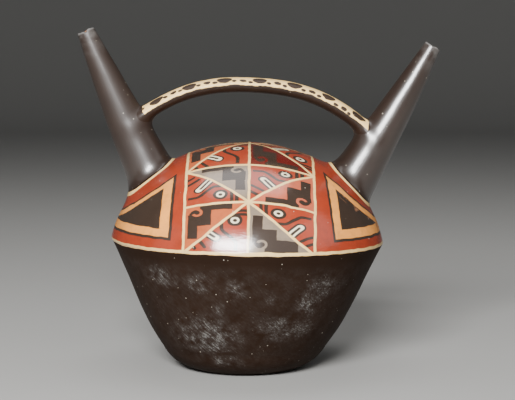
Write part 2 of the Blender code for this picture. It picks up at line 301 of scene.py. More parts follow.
class Spout:
    """A tapering spout, bowed a little outwards. Distances along it run from the tip towards the dome."""

    def __init__(self, body, sizes, side):
        name = "left" if side < 0 else "right"
        half_width, half_height, centre = dome_ellipse(body)
        reach = getattr(sizes, name + "_reach")
        self.sizes, self.side = sizes, side
        self.lean = getattr(sizes, name + "_lean")
        self.length = getattr(sizes, name + "_length")
        self.bow = getattr(sizes, name + "_bow")
        self.down = np.array((-side * sin(self.lean), 0, -cos(self.lean)))
        self.across = np.array((side * cos(self.lean), 0, -sin(self.lean)))
        foot = np.array((side * reach, 0, centre + half_height * sqrt(1 - (reach / half_width) ** 2)))
        self.tip = foot - self.down * self.length

    def axis(self, along):
        share = along / self.length
        bow = self.bow * 4 * share * (1 - share)
        return self.tip + np.multiply.outer(along, self.down) + np.multiply.outer(bow, self.across)

    def measured(self, points):
        """For each point its distance along the spout, towards its outer side, and outside its surface."""
        along = (points - self.tip) @ self.down
        from_axis = points - self.axis(along)
        share, sizes = along / self.length, self.sizes
        radius = sizes.tip_radius + (sizes.foot_radius - sizes.tip_radius) * share
        radius += sizes.swell * 4 * share * (1 - share)
        return along, from_axis @ self.across, np.linalg.norm(from_axis, axis=1) - radius


class Strap:
    """The strap bridge, arched from one spout's axis to the other's."""

    def __init__(self, sizes, left, right):
        start = left.axis(left.length - sizes.left_join)
        end = right.axis(right.length - sizes.right_join)
        self.sizes = sizes
        self.middle = (start + end) / 2
        self.half_chord = float(np.linalg.norm(end - start) / 2)
        self.along = (end - start) / (2 * self.half_chord)
        self.up = np.array((-self.along[2], 0, self.along[0]))

    def arch(self):
        """Points along the middle line, the outward direction at each, and its distance from the crown."""
        sizes, place = self.sizes, np.linspace(-1, 1, ARCH_STEPS)
        rise = sizes.rise * (1 - abs(place) ** sizes.arch_power)
        slope = sizes.rise * sizes.arch_power * abs(place) ** (sizes.arch_power - 1) / self.half_chord
        line = self.middle + np.outer(self.half_chord * place, self.along) + np.outer(rise, self.up)
        outward = self.up + np.outer(slope * np.sign(place), self.along)
        outward /= np.linalg.norm(outward, axis=1)[:, None]
        runs = np.concatenate(([0], np.cumsum(np.linalg.norm(np.diff(line, axis=0), axis=1))))
        return line, outward, runs - runs[ARCH_STEPS // 2]

    def measured(self, points):
        """For each point its distance from the crown along the arch, across it, above its middle line and
        outside its surface."""
        line, outward, runs = self.arch()
        flat, course = points[:, ::2], line[:, ::2]
        nearest = ((flat[:, None] - course[None]) ** 2).sum(2).argmin(1)
        step, out = flat - course[nearest], outward[nearest][:, ::2]
        along = runs[nearest] + step[:, 0] * out[:, 1] - step[:, 1] * out[:, 0]
        across, lift = points[:, 1], (step * out).sum(1)
        power = self.sizes.section_power
        share = abs(across / (self.sizes.width / 2)) ** power
        share += abs(lift / (self.sizes.thickness / 2)) ** power
        gap = np.hypot(across, lift) * (1 - np.maximum(share, 1e-9) ** (-1 / power))
        past = np.maximum(abs(along) - runs[-1], 0)
        return along, across, lift, np.where(past > 0, np.hypot(past, np.maximum(gap, 0)), gap)

    def girth(self, across, lift):
        """Distance of a point of the surface from the crest, round the section."""
        turn, power = np.linspace(0, pi, GIRTH_STEPS), 2 / self.sizes.section_power
        side = np.sin(turn) ** power * self.sizes.width / 2
        top = np.sign(np.cos(turn)) * abs(np.cos(turn)) ** power * self.sizes.thickness / 2
        run = np.concatenate(([0], np.cumsum(np.hypot(np.diff(side), np.diff(top)))))
        return np.interp(np.arctan2(abs(across), lift), np.arctan2(side, top), run)


def dome_gap(body, points):
    """About how far each point is outside the dome's ellipsoid, below zero inside it."""
    half_width, half_height, centre = dome_ellipse(body)
    radii = np.array((half_width, half_width, half_height))
    from_centre = points - np.array((0, 0, centre))
    share = np.linalg.norm(from_centre / radii, axis=1)
    return share * (share - 1) / np.linalg.norm(from_centre / radii**2, axis=1)


def smooth_least(a, b, reach):
    """The lesser of two gaps, with wet clay drawn across the crease where they are within reach."""
    near = np.maximum(reach - abs(a - b), 0) / reach
    return np.minimum(a, b) - near**3 * reach / 6


def rounded(before, corner, after, radius, steps):
    """Points of the arc that rounds the corner between two straight runs of an outline."""
    before, corner, after = Vector(before), Vector(corner), Vector(after)
    back, on = (before - corner).normalized(), (after - corner).normalized()
    half = back.angle(on) / 2
    centre = corner + (back + on).normalized() * (radius / sin(half))
    first = corner + back * radius / tan(half) - centre
    turn = (corner + on * radius / tan(half) - centre).angle_signed(first)
    return [centre + Matrix.Rotation(turn * k / steps, 2) @ first for k in range(steps + 1)]


def body_outline(body, inset, edge_radius, spacing):
    """Points from the base's centre round the keel to the crown, set in from the surface by inset."""
    half_width, half_height, centre = dome_ellipse(body)
    half_width, half_height = half_width - inset, half_height - inset
    slant = Vector((body.keel_radius - body.base_corner, body.keel_height)).normalized()
    inward = Vector((-slant.y, slant.x))
    foot = Vector((body.base_corner, 0)) + inward * inset
    foot += slant * (inset - foot.y) / slant.y

    def on_dome(turn):
        return Vector((half_width * cos(turn), centre + half_height * sin(turn)))

    below, above = -pi / 2, pi / 2
    for _ in range(HALVINGS):
        turn = (below + above) / 2
        below, above = (below, turn) if (on_dome(turn) - foot).dot(inward) > 0 else (turn, above)
    keel = on_dome(above)
    up = keel + Vector((-half_width * sin(above), half_height * cos(above)))

    base = rounded((0, inset), foot, keel, max(body.base_edge - inset, edge_radius), BASE_STEPS)
    edge = rounded(foot, keel, up, edge_radius, EDGE_STEPS)
    flat = [Vector((base[0].x * k / FLAT_STEPS, inset)) for k in range(FLAT_STEPS)]
    rows = round((edge[0] - base[-1]).length / spacing)
    wall = []
    for row in range(1, rows):
        share = row / rows
        bulge = body.bowl_bulge * share * (1 - share) ** 2 * 27 / 4
        wall.append(base[-1].lerp(edge[0], share) - inward * bulge)
    start = np.arctan2((edge[-1].y - centre) / half_height, edge[-1].x / half_width)
    rows = round((pi / 2 - start) * half_width / spacing)
    dome = [on_dome(start + (pi / 2 - start) * row / rows) for row in range(1, rows)]
    return [*flat, *base, *wall, *edge, *dome, Vector((0, on_dome(pi / 2).y))]


def turned(name, outline, segments, material):
    """An object whose mesh is an outline turned about the Z axis."""
    bm = bmesh.new()
    points = [bm.verts.new((point.x, 0, point.y)) for point in outline]
    edges = [bm.edges.new(pair) for pair in zip(points, points[1:])]
    bmesh.ops.spin(bm, geom=points + edges, axis=(0, 0, 1), angle=2 * pi, steps=segments, use_merge=True)
    bmesh.ops.remove_doubles(bm, verts=bm.verts, dist=1e-6)
    bmesh.ops.recalc_face_normals(bm, faces=bm.faces)
    mesh = bpy.data.meshes.new(name)
    mesh.materials.append(material)
    bm.to_mesh(mesh)
    bm.free()
    obj = bpy.data.objects.new(name, mesh)
    bpy.context.scene.collection.objects.link(obj)
    return obj


# A spout, or the bore in one: a tapering tube, bowed a little, with a rounded lip
TUBE_INPUTS = ("Bow", "Length", "Tip Radius", "Foot Radius", "Swell", "Lip", "Start", "Stop")
TUBE = """
along = start + (stop - start) * power(0.5 - z, 1.8)
share = along / length
near = 1 - clamped(along / abs(lip))
curve = 4 * share * (1 - share)
radius = tip_radius + (foot_radius - tip_radius) * share + swell * curve - lip * (1 - sqrt(1 - near * near))
to_x = x * radius + bow * curve
to_y = y * radius
to_z = -along
"""

# The strap: a flattened section carried along an arch in the XZ plane
STRAP_INPUTS = ("Half Chord", "Rise", "Arch Power", "Half Width", "Half Thickness", "Section Power")
STRAP = """
squaring = 2 / section_power
to_y = sign(x) * power(abs(x), squaring) * half_width
lift = sign(y) * power(abs(y), squaring) * half_thickness
slope = sign(z) * rise * arch_power * power(abs(z), arch_power - 1) / half_chord
steepness = sqrt(1 + slope * slope)
to_x = half_chord * z + lift * slope / steepness
to_z = rise * (1 - power(abs(z), arch_power)) + lift / steepness
"""

# What is joined to the body or cut from it, and the node group that makes it
MEMBERS = {
    "Left Spout": "Tube", "Right Spout": "Tube", "Strap": "Strap", "Left Bore": "Tube", "Right Bore": "Tube",
}


def drawn_inputs(kind):
    """The inputs of the node group of a tube or strap, with their sorts."""
    sizes = TUBE_INPUTS if kind == "Tube" else STRAP_INPUTS
    return {"Place": "Vector", "Turn": "Vector", **dict.fromkeys(sizes, "Float"), "Material": "Material"}


def drawn_group(kind, sides, rows, depth, text):
    """The node group that draws out a plain drum: text works out a point's new place from its x, y and z."""
    inputs = drawn_inputs(kind)
    tree, given, result = group(kind, "GeometryNodeTree", inputs, {"Mesh": "Geometry"})
    drum = add(
        tree, "GeometryNodeMeshCylinder",
        {"Vertices": sides, "Side Segments": rows, "Radius": 1.0, "Depth": depth},
    )
    position = add(tree, "GeometryNodeInputPosition").outputs[0]
    x, y, z = add(tree, "ShaderNodeSeparateXYZ", [position]).outputs
    named = {name.lower().replace(" ", "_"): given[name] for name, sort in inputs.items() if sort == "Float"}
    flow = worked_out(tree, text, x=x, y=y, z=z, **named)
    point = add(tree, "ShaderNodeCombineXYZ", (flow["to_x"], flow["to_y"], flow["to_z"]))
    drawn = add(tree, "GeometryNodeSetPosition", {"Geometry": drum.outputs[0], "Position": point.outputs[0]})
    stood = add(
        tree, "GeometryNodeTransform",
        {"Geometry": drawn.outputs[0], "Translation": given["Place"], "Rotation": given["Turn"]},
    )
    skin = add(
        tree, "GeometryNodeSetMaterial", {"Geometry": stood.outputs[0], "Material": given["Material"]},
    )
    tree.links.new(skin.outputs[0], result["Mesh"])


def joined_tree():
    """The tree that joins spouts and strap to the body, hollows it and gives the bowl its own slip."""
    inputs = {"Body": "Geometry", "Hollow": "Object", "Painted From": "Float"}
    inputs.update(dict.fromkeys(("Painted Slip", "Bowl Slip"), "Material"))
    for member, kind in MEMBERS.items():
        inputs.update({f"{member} {name}": sort for name, sort in drawn_inputs(kind).items()})
    tree, given, result = group("Joined vessel", "GeometryNodeTree", inputs, {"Vessel": "Geometry"})

    solids, cutters = [given["Body"]], []
    for member, kind in MEMBERS.items():
        sizes = {name: given[f"{member} {name}"] for name in drawn_inputs(kind)}
        mesh = add(tree, "GeometryNodeGroup", sizes, node_tree=bpy.data.node_groups[kind]).outputs[0]
        (cutters if member.endswith("Bore") else solids).append(mesh)
    hollow = add(tree, "GeometryNodeObjectInfo", {"Object": given["Hollow"]}, transform_space="RELATIVE")
    cutters.append(hollow.outputs["Geometry"])
    union = add(tree, "GeometryNodeMeshBoolean", {"Mesh 2": solids}, operation="UNION", solver="EXACT")
    cut = add(
        tree, "GeometryNodeMeshBoolean", {"Mesh 1": union.outputs[0], "Mesh 2": cutters},
        operation="DIFFERENCE", solver="EXACT",
    )
    whole = add(tree, "GeometryNodeRealizeInstances", {"Geometry": cut.outputs[0]})
    painted = add(tree, "GeometryNodeMaterialSelection", {"Material": given["Painted Slip"]}).outputs[0]
    position = add(tree, "GeometryNodeInputPosition").outputs[0]
    height = add(tree, "ShaderNodeSeparateXYZ", [position]).outputs[2]
    bowl = worked_out(
        tree, "bowl = painted * (height < painted_from)",
        painted=painted, height=height, painted_from=given["Painted From"],
    )["bowl"]
    slipped = add(
        tree, "GeometryNodeSetMaterial",
        {"Geometry": whole.outputs[0], "Selection": bowl, "Material": given["Bowl Slip"]},
    )
    tree.links.new(slipped.outputs[0], result["Vessel"])
    return tree


def shaped(obj, tree, values):
    """Runs a Geometry Nodes tree on an object and keeps the result as its plain mesh."""
    modifier = obj.modifiers.new(tree.name, "NODES")
    modifier.node_group = tree
    for socket in tree.interface.items_tree:
        if socket.in_out == "INPUT" and socket.name in values:
            modifier[socket.identifier] = values[socket.name]
    graph = bpy.context.evaluated_depsgraph_get()
    mesh = bpy.data.meshes.new_from_object(obj.evaluated_get(graph))
    obj.modifiers.remove(modifier)
    obj.data = mesh


def leaned(body, points):
    """Where points of the upright vessel end up: the base stays flat, the dome and all on it tip as one."""
    share = np.clip(points[:, 2] / body.keel_height, 0, 1)
    tip = body.lean * share * share * (3 - 2 * share)
    pivot = np.minimum(points[:, 2], body.keel_height)
    above = points[:, 2] - pivot
    across = body.keel_shift * share + points[:, 0] * np.cos(tip) + above * np.sin(tip)
    return np.stack((across, points[:, 1], pivot - points[:, 0] * np.sin(tip) + above * np.cos(tip)), axis=1)


class VESSEL_OT_form(bpy.types.Operator):
    """Joins body, spouts and strap as one hollow piece, smooths the joins as wet clay and paints it"""

    bl_idname = "vessel.form"
    bl_label = "Form the vessel"

    def execute(self, context):
        scene = context.scene
        body, spouts = scene.vessel_body, scene.vessel_spouts
        left, right = Spout(body, spouts, -1), Spout(body, spouts, 1)
        strap = Strap(scene.vessel_strap, left, right)
        slip_group(scene.vessel_colours)
        for mix in (slip_material, bowl_material, clay_material, strap_material, painted_material):
            mix(scene)
        obj = self.joined(body, left, right, strap)
        mesh = obj.data
        points = np.zeros(len(mesh.vertices) * 3)
        mesh.vertices.foreach_get("co", points)
        points = points.reshape(-1, 3)
        outside = np.zeros(len(points), bool)
        clay = mesh.materials.find(CLAY)
        for polygon in mesh.polygons:
            if polygon.material_index != clay:
                outside[list(polygon.vertices)] = True
        self.smooth_creases(points, outside, body, left, right, strap)
        self.wear_lips(points, left, right)
        self.note_places(mesh, points, body, left, right, strap)
        mesh.vertices.foreach_set("co", points.ravel())
        mesh.update()
        self.make_uneven(mesh, points, outside, body)
        mesh.vertices.foreach_set("co", leaned(body, points).ravel())
        mesh.shade_smooth()
        mesh.set_sharp_from_angle(angle=SHARP_ANGLE)
        mesh.update()
        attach(obj, "root")
        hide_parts("vessel")
        return {"FINISHED"}

    def joined(self, body, left, right, strap):
        names = (SLIP, BOWL_SLIP, PAINTED, STRAP_SLIP, CLAY)
        slip, bowl_slip, painted, strap_slip, clay = [bpy.data.materials[name] for name in names]
        spouts, bridge = left.sizes, strap.sizes
        outline = body_outline(body, 0, body.keel_edge, BODY_SPACING)
        obj = turned("painted_vessel", outline, BODY_SEGMENTS, painted)
        inside = body_outline(body, body.wall, body.inner_edge, HOLLOW_SPACING)
        hollow = turned("hollow", inside, HOLLOW_SEGMENTS, clay)
        drawn_group("Tube", TUBE_SIDES, TUBE_ROWS, 1.0, TUBE)
        drawn_group("Strap", STRAP_SIDES, STRAP_ROWS, 2.0, STRAP)
        values = {
            "Hollow": hollow, "Painted From": body.keel_height - PAINTING_DROP,
            "Painted Slip": painted, "Bowl Slip": bowl_slip,
            "Strap Place": strap.middle.tolist(),
            "Strap Turn": (0.0, -float(np.arctan2(strap.along[2], strap.along[0])), 0.0),
            "Strap Half Chord": strap.half_chord, "Strap Rise": bridge.rise,
            "Strap Arch Power": bridge.arch_power, "Strap Section Power": bridge.section_power,
            "Strap Half Width": bridge.width / 2, "Strap Half Thickness": bridge.thickness / 2,
            "Strap Material": strap_slip,
        }
        for spout in (left, right):
            side = "Left" if spout is left else "Right"
            shared = {
                "Place": spout.tip.tolist(), "Turn": (0.0, spout.side * spout.lean, 0.0),
                "Bow": spout.side * spout.bow, "Length": spout.length, "Swell": spouts.swell,
                "Stop": spout.length + WALLS_INSIDE * body.wall,
            }
            tube = {
                "Tip Radius": spouts.tip_radius, "Foot Radius": spouts.foot_radius, "Lip": spouts.lip,
                "Start": 0.0, "Material": slip,
            }
            bore = {
                "Tip Radius": spouts.tip_radius - spouts.tip_wall,
                "Foot Radius": spouts.foot_radius - spouts.foot_wall, "Lip": -spouts.lip,
                "Start": -BORE_ABOVE * spouts.lip, "Material": clay,
            }
            values.update({f"{side} Spout {name}": value for name, value in {**shared, **tube}.items()})
            values.update({f"{side} Bore {name}": value for name, value in {**shared, **bore}.items()})
        shaped(obj, joined_tree(), values)
        bpy.data.objects.remove(hollow)
        return obj

    def smooth_creases(self, points, outside, body, left, right, strap):
        """Moves the points near a crease onto the surface of clay drawn across it."""
        spouts = left.sizes

        def gaps(places):
            _, side, gap = left.measured(places)
            _, other_side, other_gap = right.measured(places)
            outward = np.where(gap < other_gap, -side, other_side) / spouts.foot_radius
            inner = (1 - np.clip(outward, -1, 1)) / 2
            foot_reach = spouts.outer_fillet + (spouts.inner_fillet - spouts.outer_fillet) * inner
            _, _, lift, bridge = strap.measured(places)
            high = (1 + np.clip(lift / (strap.sizes.thickness / 2), -1, 1)) / 2
            reach = strap.sizes.under_fillet + (strap.sizes.top_fillet - strap.sizes.under_fillet) * high
            return dome_gap(body, places), np.minimum(gap, other_gap), bridge, foot_reach, reach

        def surface(places):
            dome, spout, bridge, foot_reach, reach = gaps(places)
            return smooth_least(smooth_least(dome, spout, foot_reach), bridge, reach)

        above = np.flatnonzero(outside & (points[:, 2] > body.keel_height + body.keel_edge))
        dome, spout, bridge, foot_reach, reach = gaps(points[above])
        above = above[(abs(dome - spout) < foot_reach) | (abs(spout - bridge) < reach)]
        moving = points[above]
        for _ in range(PULLS):
            slopes = []
            for step in np.eye(3) * SLOPE_STEP:
                slopes.append((surface(moving + step) - surface(moving - step)) / (2 * SLOPE_STEP))
            slope = np.stack(slopes, axis=1)
            moving = moving - slope * (surface(moving) / np.maximum((slope**2).sum(1), LEAST_SLOPE))[:, None]
        points[above] = moving

    def wear_lips(self, points, left, right):
        """Makes the lips a little uneven and chips the left one."""
        for spout in (left, right):
            along, side, gap = spout.measured(points)
            turn = np.arctan2(points[:, 1], side)
            wear = LIP_WAVES * np.sin(3 * turn + spout.side) + FINE_LIP_WAVES * np.sin(7 * turn)
            if spout is left:
                wear += spout.sizes.notch * np.exp(-(((turn - CHIP_PLACE) / CHIP_WIDTH) ** 2))
            fade = np.clip(1 - along / LIP_REACH, 0, 1) * (along > -LIP_TOP) * (abs(gap) < LIP_REACH)
            points += np.outer(wear * fade, spout.down)

    def note_places(self, mesh, points, body, left, right, strap):
        """Keeps in the mesh, in millimetres, the places that the painting and the burnish follow."""
        on_left = points[:, 0] < 0
        bulge = bpy.context.scene.vessel_pattern.ring_bulge
        bulge = bulge * np.clip(points[:, 1] / left.sizes.foot_radius, -1, 1) ** 2
        strokes, seams = [], []
        for spout in (left, right):
            run, side, gap = spout.measured(points)
            strokes.append(np.stack((side, points[:, 1], run), axis=1))
            seams.append(gap - dome_gap(body, points) - bulge)
        along, across, lift, _ = strap.measured(points)
        girth = strap.girth(across, lift) * np.where(across < 0, -1, 1)
        for name, sort, values in (
            ("upright", "FLOAT_VECTOR", points),
            ("spout", "FLOAT_VECTOR", np.where(on_left[:, None], *strokes)),
            ("strap", "FLOAT_VECTOR", np.stack((along, girth, lift), axis=1)),
            ("seam", "FLOAT", np.where(on_left, *seams)),
        ):
            attribute = mesh.attributes.new(name, sort, "POINT")
            key = "vector" if sort == "FLOAT_VECTOR" else "value"
            attribute.data.foreach_set(key, (values * MM).astype(np.float32).ravel())

    def make_uneven(self, mesh, points, outside, body):
        """Moves the outer surface in and out a little, as hands leave it, but not the base."""
        normals = np.zeros(points.size)
        mesh.vertex_normals.foreach_get("vector", normals)
        broad = np.array([noise.noise(Vector(point) * BROAD_WAVES) for point in points])
        fine = np.array([noise.noise(Vector(point) * FINE_WAVES) for point in points])
        fade = np.clip(points[:, 2] / BASE_FADE, 0, 1)
        swell = body.unevenness * (broad + FINE_SHARE * fine) * fade * outside
        points += normals.reshape(-1, 3) * swell[:, None]


def mixed(tree, base, *layers):
    """Lays each (mask, colour) over the base colour in turn."""
    for mask, top in layers:
        node = add(tree, "ShaderNodeMix", {0: mask, 6: base, 7: top}, data_type="RGBA")
        base = node.outputs[2]
    return base


def wavered(tree, place, size, reach):
    """X, y and z of a place that strays as a brush does, by about half the reach, in waves of some size."""
    stray = add(tree, "ShaderNodeTexNoise", {"Vector": place, "Scale": 1 / size}).outputs["Color"]
    middle = add(tree, "ShaderNodeVectorMath", (stray, (0.5, 0.5, 0.5)), operation="SUBTRACT").outputs[0]
    shift = add(tree, "ShaderNodeVectorMath", {0: middle, "Scale": 2 * reach}, operation="SCALE").outputs[0]
    shifted = add(tree, "ShaderNodeVectorMath", (place, shift), operation="ADD").outputs[0]
    return add(tree, "ShaderNodeSeparateXYZ", [shifted]).outputs


def slip_group(colours):
    """The node group that every slip shares: cloudy colour, polishing strokes, flecks and their relief."""
    tree, given, result = group(
        "Slip surface", "ShaderNodeTree",
        {
            "Colour": "Color", "Place": "Vector", "Strokes": "Vector", "Flecks": "Float", "Bloom": "Float",
            "Polish": "Float", "Roughness": "Float",
        },
        {"Colour": "Color", "Roughness": "Float", "Film": "Float", "Normal": "Vector"},
    )
    place = given["Place"]
    noises = []
    for vector, sizes in ((place, CLOUD), (given["Strokes"], STROKE), (place, GRIT), (place, GRAIN)):
        noises.append(add(tree, "ShaderNodeTexNoise", {"Vector": vector, **sizes}).outputs[0])
    cloud, stroke, grit, grain = noises
    fleck = add(tree, "ShaderNodeTexVoronoi", {"Vector": place, **FLECKS})
    chance, spread, _ = add(tree, "ShaderNodeSeparateXYZ", [fleck.outputs["Color"]]).outputs
    flow = worked_out(
        tree,
        """
present = chance > 1 - flecks * (0.35 + cloud)
fleck = present * clamped((0.05 + 0.17 * spread * spread * spread - distance) * 14) * 0.65
dusty = clamped((grain + bloom * 0.24 - 0.68) * 5) * clamped(bloom * 4)
pale = clamped(dusty * 0.45 + bloom * 0.13)
shade = 0.77 + 0.40 * cloud + 0.08 * stroke
worn = most(pale, fleck)
film = polish * (1 - worn)
rough = roughness + 0.2 * worn
height = grit * 0.25 + stroke * 0.6 + dusty * 0.2
""",
        chance=chance, spread=spread, flecks=given["Flecks"], distance=fleck.outputs["Distance"],
        cloud=cloud, stroke=stroke, grit=grit, grain=grain, bloom=given["Bloom"], polish=given["Polish"],
        roughness=given["Roughness"],
    )
    shaded = add(
        tree, "ShaderNodeVectorMath", {0: given["Colour"], "Scale": flow["shade"]}, operation="SCALE",
    ).outputs[0]
    dust, fleck = (*colours.bloom, 1), (*colours.fleck, 1)
    dusted = mixed(tree, shaded, (flow["pale"], dust), (flow["fleck"], fleck))
    relief = add(tree, "ShaderNodeBump", {"Strength": 0.35, "Distance": RELIEF, "Height": flow["height"]})
    tree.links.new(dusted, result["Colour"])
    tree.links.new(flow["rough"], result["Roughness"])
    tree.links.new(flow["film"], result["Film"])
    tree.links.new(relief.outputs[0], result["Normal"])


def new_material(name):
    """The tree of a new material, and each point's place on the upright vessel in millimetres."""
    material = bpy.data.materials.new(name)
    material.use_nodes = True
    tree = material.node_tree
    return tree, add(tree, "ShaderNodeAttribute", attribute_name="upright").outputs["Vector"]


# Fired clay has an IOR of about 1.5. Porous slips shine less, and the polished film over them shines more
POROUS_IOR, DENSE_IOR, FILM_IOR = 1.1, 1.55, 1.75


def surfaced(
    tree, colour, place, strokes, flecks, bloom=0.0, polish=None, roughness=0.6, ior=POROUS_IOR, gloss=0.17,
):
    """Gives the tree's shader the shared slip surface in a colour. Strokes are the place that the pebble's
    strokes follow, and factors that stretch it. Polish lays a dense film over the slip, with gloss as its
    roughness."""
    stretched = add(tree, "ShaderNodeVectorMath", strokes, operation="MULTIPLY").outputs[0]
    inputs = {
        "Colour": colour, "Place": place, "Strokes": stretched, "Flecks": flecks, "Bloom": bloom,
        "Polish": polish, "Roughness": roughness,
    }
    surface = add(tree, "ShaderNodeGroup", inputs, node_tree=bpy.data.node_groups["Slip surface"]).outputs
    shader = tree.nodes["Principled BSDF"]
    shader.inputs["IOR"].default_value = ior
    links = {"Base Color": "Colour", "Roughness": "Roughness", "Normal": "Normal"}
    if polish is not None:
        shader.inputs["Coat IOR"].default_value = FILM_IOR
        shader.inputs["Coat Roughness"].default_value = gloss
        links.update({"Coat Weight": "Film", "Coat Normal": "Normal"})
    for name, output in links.items():
        tree.links.new(surface[output], shader.inputs[name])


# Mineral bloom on the bowl's front: middle across and up, half width and half height, strength
BLOOM_PATCHES = (
    (-50, 63, 10, 7, 0.75),
    (-28, 61, 9, 6, 0.70),
    (-6, 58, 7, 7, 0.65),
    (14, 52, 4, 5, 0.45),
    (44, 59, 9, 7, 0.75),
    (36, 49, 7, 9, 0.80),
    (56, 60, 6, 6, 0.35),
    (-16, 46, 4, 5, 0.60),
    (-23, 28, 19, 12, 1.00),
    (22, 33, 18, 8, 0.80),
    (-11, 12, 9, 4, 0.85),
)


def slip_material(scene):
    """Iron-rich slip burnished with a pebble: brown-black and softly glossy, with strokes along the spouts.
    Hands have dulled the left spout and worn both lips grey."""
    colours = scene.vessel_colours
    tree, place = new_material(SLIP)
    spout_place = add(tree, "ShaderNodeAttribute", attribute_name="spout").outputs["Vector"]
    seam = add(tree, "ShaderNodeAttribute", attribute_name="seam").outputs["Fac"]
    x = add(tree, "ShaderNodeSeparateXYZ", [place]).outputs[0]
    run = add(tree, "ShaderNodeSeparateXYZ", [spout_place]).outputs[2]
    sway = add(tree, "ShaderNodeTexNoise", {"Vector": place, **SWAY}).outputs[0]
    flow = worked_out(
        tree,
        """
ring = clamped(0.5 + (seam + ring_start) / 0.25)
flecks = 0.3 + 0.3 * clamped(1 + seam / 9)
rubbed = (x < 0) * clamped((92 - run) / 26)
polish = 0.72 - 0.67 * rubbed
dull = 0.42 + 0.16 * rubbed
patchy = clamped((sway - 0.4) * 4)
lip = most(clamped(1.3 - run / 1.2) * 0.5, clamped(1 - run / 18) * patchy * 0.3)
""",
        x=x, run=run, seam=seam, ring_start=RING_START, sway=sway,
    )
    dark, worn, line = [(*getattr(colours, name), 1) for name in ("dark", "bloom", "line")]
    base = mixed(tree, dark, (flow["lip"], worn), (flow["ring"], line))
    surfaced(
        tree, base, place, (spout_place, (1, 1, 0.06)), flow["flecks"], polish=flow["polish"],
        roughness=flow["dull"], ior=DENSE_IOR, gloss=0.23,
    )


def bowl_material(scene):
    """The same slip worn dull: matt brown-black, with level strokes and pale, scuffed mineral bloom."""
    tree, place = new_material(BOWL_SLIP)
    x, y, z = add(tree, "ShaderNodeSeparateXYZ", [place]).outputs
    slanted = worked_out(tree, "run = 0.16 * (x - z)\nacross = x + z", x=x, z=z)
    slanted = add(tree, "ShaderNodeCombineXYZ", (slanted["run"], slanted["across"], y)).outputs[0]
    far = add(tree, "ShaderNodeTexNoise", {"Vector": place, **FAR_CLOUD}).outputs[0]
    sway = add(tree, "ShaderNodeTexNoise", {"Vector": place, **SWAY}).outputs[0]
    scratch = add(tree, "ShaderNodeTexNoise", {"Vector": slanted, **SCRATCH}).outputs[0]
    patch = 0.2
    for across, up, half_width, half_height, strength in BLOOM_PATCHES:
        text = """
u = (x - across) / half_width
v = (z - up) / half_height
patch = most(patch, strength * clamped(1.5 - sqrt(u * u + v * v)))
"""
        patch = worked_out(
            tree, text, x=x, z=z, across=across, up=up, half_width=half_width, half_height=half_height,
            strength=strength, patch=patch,
        )["patch"]
    flow = worked_out(
        tree,
        """
behind = clamped((far - 0.55) * 5) * clamped(y / 10)
thin = clamped((sway - 0.34) * 4) * (0.3 + 1.4 * clamped((scratch - 0.3) * 2.5))
bloom = (clamped(-y / 10) * patch + behind * 0.7) * thin * clamped((74 - z) / 5)
""",
        y=y, z=z, patch=patch, far=far, sway=sway, scratch=scratch,
    )
    strokes = (place, (0.25, 0.25, 1.6))
    surfaced(tree, (*scene.vessel_colours.dark, 1), place, strokes, 0.25, flow["bloom"])


def clay_material(scene):
    """Coarse clay fired in the open and left bare: matt and reddish, with dark pores and finger streaks."""
    tree, place = new_material(CLAY)
    surfaced(tree, (*scene.vessel_colours.clay, 1), place, (place, (0.3, 0.3, 1)), 0.1)


def strap_material(scene):
    """Cream slip with brown dots over the strap's top, burnished with the dark slip below it."""
    colours = scene.vessel_colours
    tree, place = new_material(STRAP_SLIP)
    strap_place = add(tree, "ShaderNodeAttribute", attribute_name="strap").outputs["Vector"]
    along, girth, _ = wavered(tree, strap_place, 7, 1.1)

    def dot(run, out, half_length, half_width):
        text = "depth = (1 - sqrt(run * run / (a * a) + out * out / (b * b))) * b"
        return worked_out(tree, text, run=run, out=out, a=half_length, b=half_width)["depth"]

    flow = worked_out(
        tree,
        """
off = abs(girth)
level = off - 0.02 * along
steps = (along - 2.2) / period
from_large = (fraction(steps + 0.5) - 0.5) * period
from_middle = (fraction(steps) - 0.5) * period
large = dot(from_large, off - 7.0, 4.6, 3.3)
small = least(dot(abs(from_middle) - 4.9, level - 9.4, 1.5, 1.0), 64 - abs(along))
medium = dot(from_middle - 0.4, level - 8.6, 2.2, 1.4)
crest = dot(from_middle, off, 2.5, 1.6)
ends = least(along + 69.3 + 0.24 * off, 69.7 + 0.46 * off - along)
cream = clamped(0.5 + least(11.5 - off, ends) / 0.25)
dots = cream * clamped(0.5 + most(large, small, medium, crest) / 0.22)
""",
        along=along, girth=girth, period=scene.vessel_pattern.dot_period * MM, dot=dot,
    )
    slip, line, brown = [(*getattr(colours, name), 1) for name in ("dark", "line", "fret")]
    base = mixed(tree, slip, (flow["cream"], line), (flow["dots"], brown))
    surfaced(
        tree, base, place, (strap_place, (0.15, 1, 1)), 0.1, polish=0.1, roughness=0.55, ior=1.3, gloss=0.19,
    )


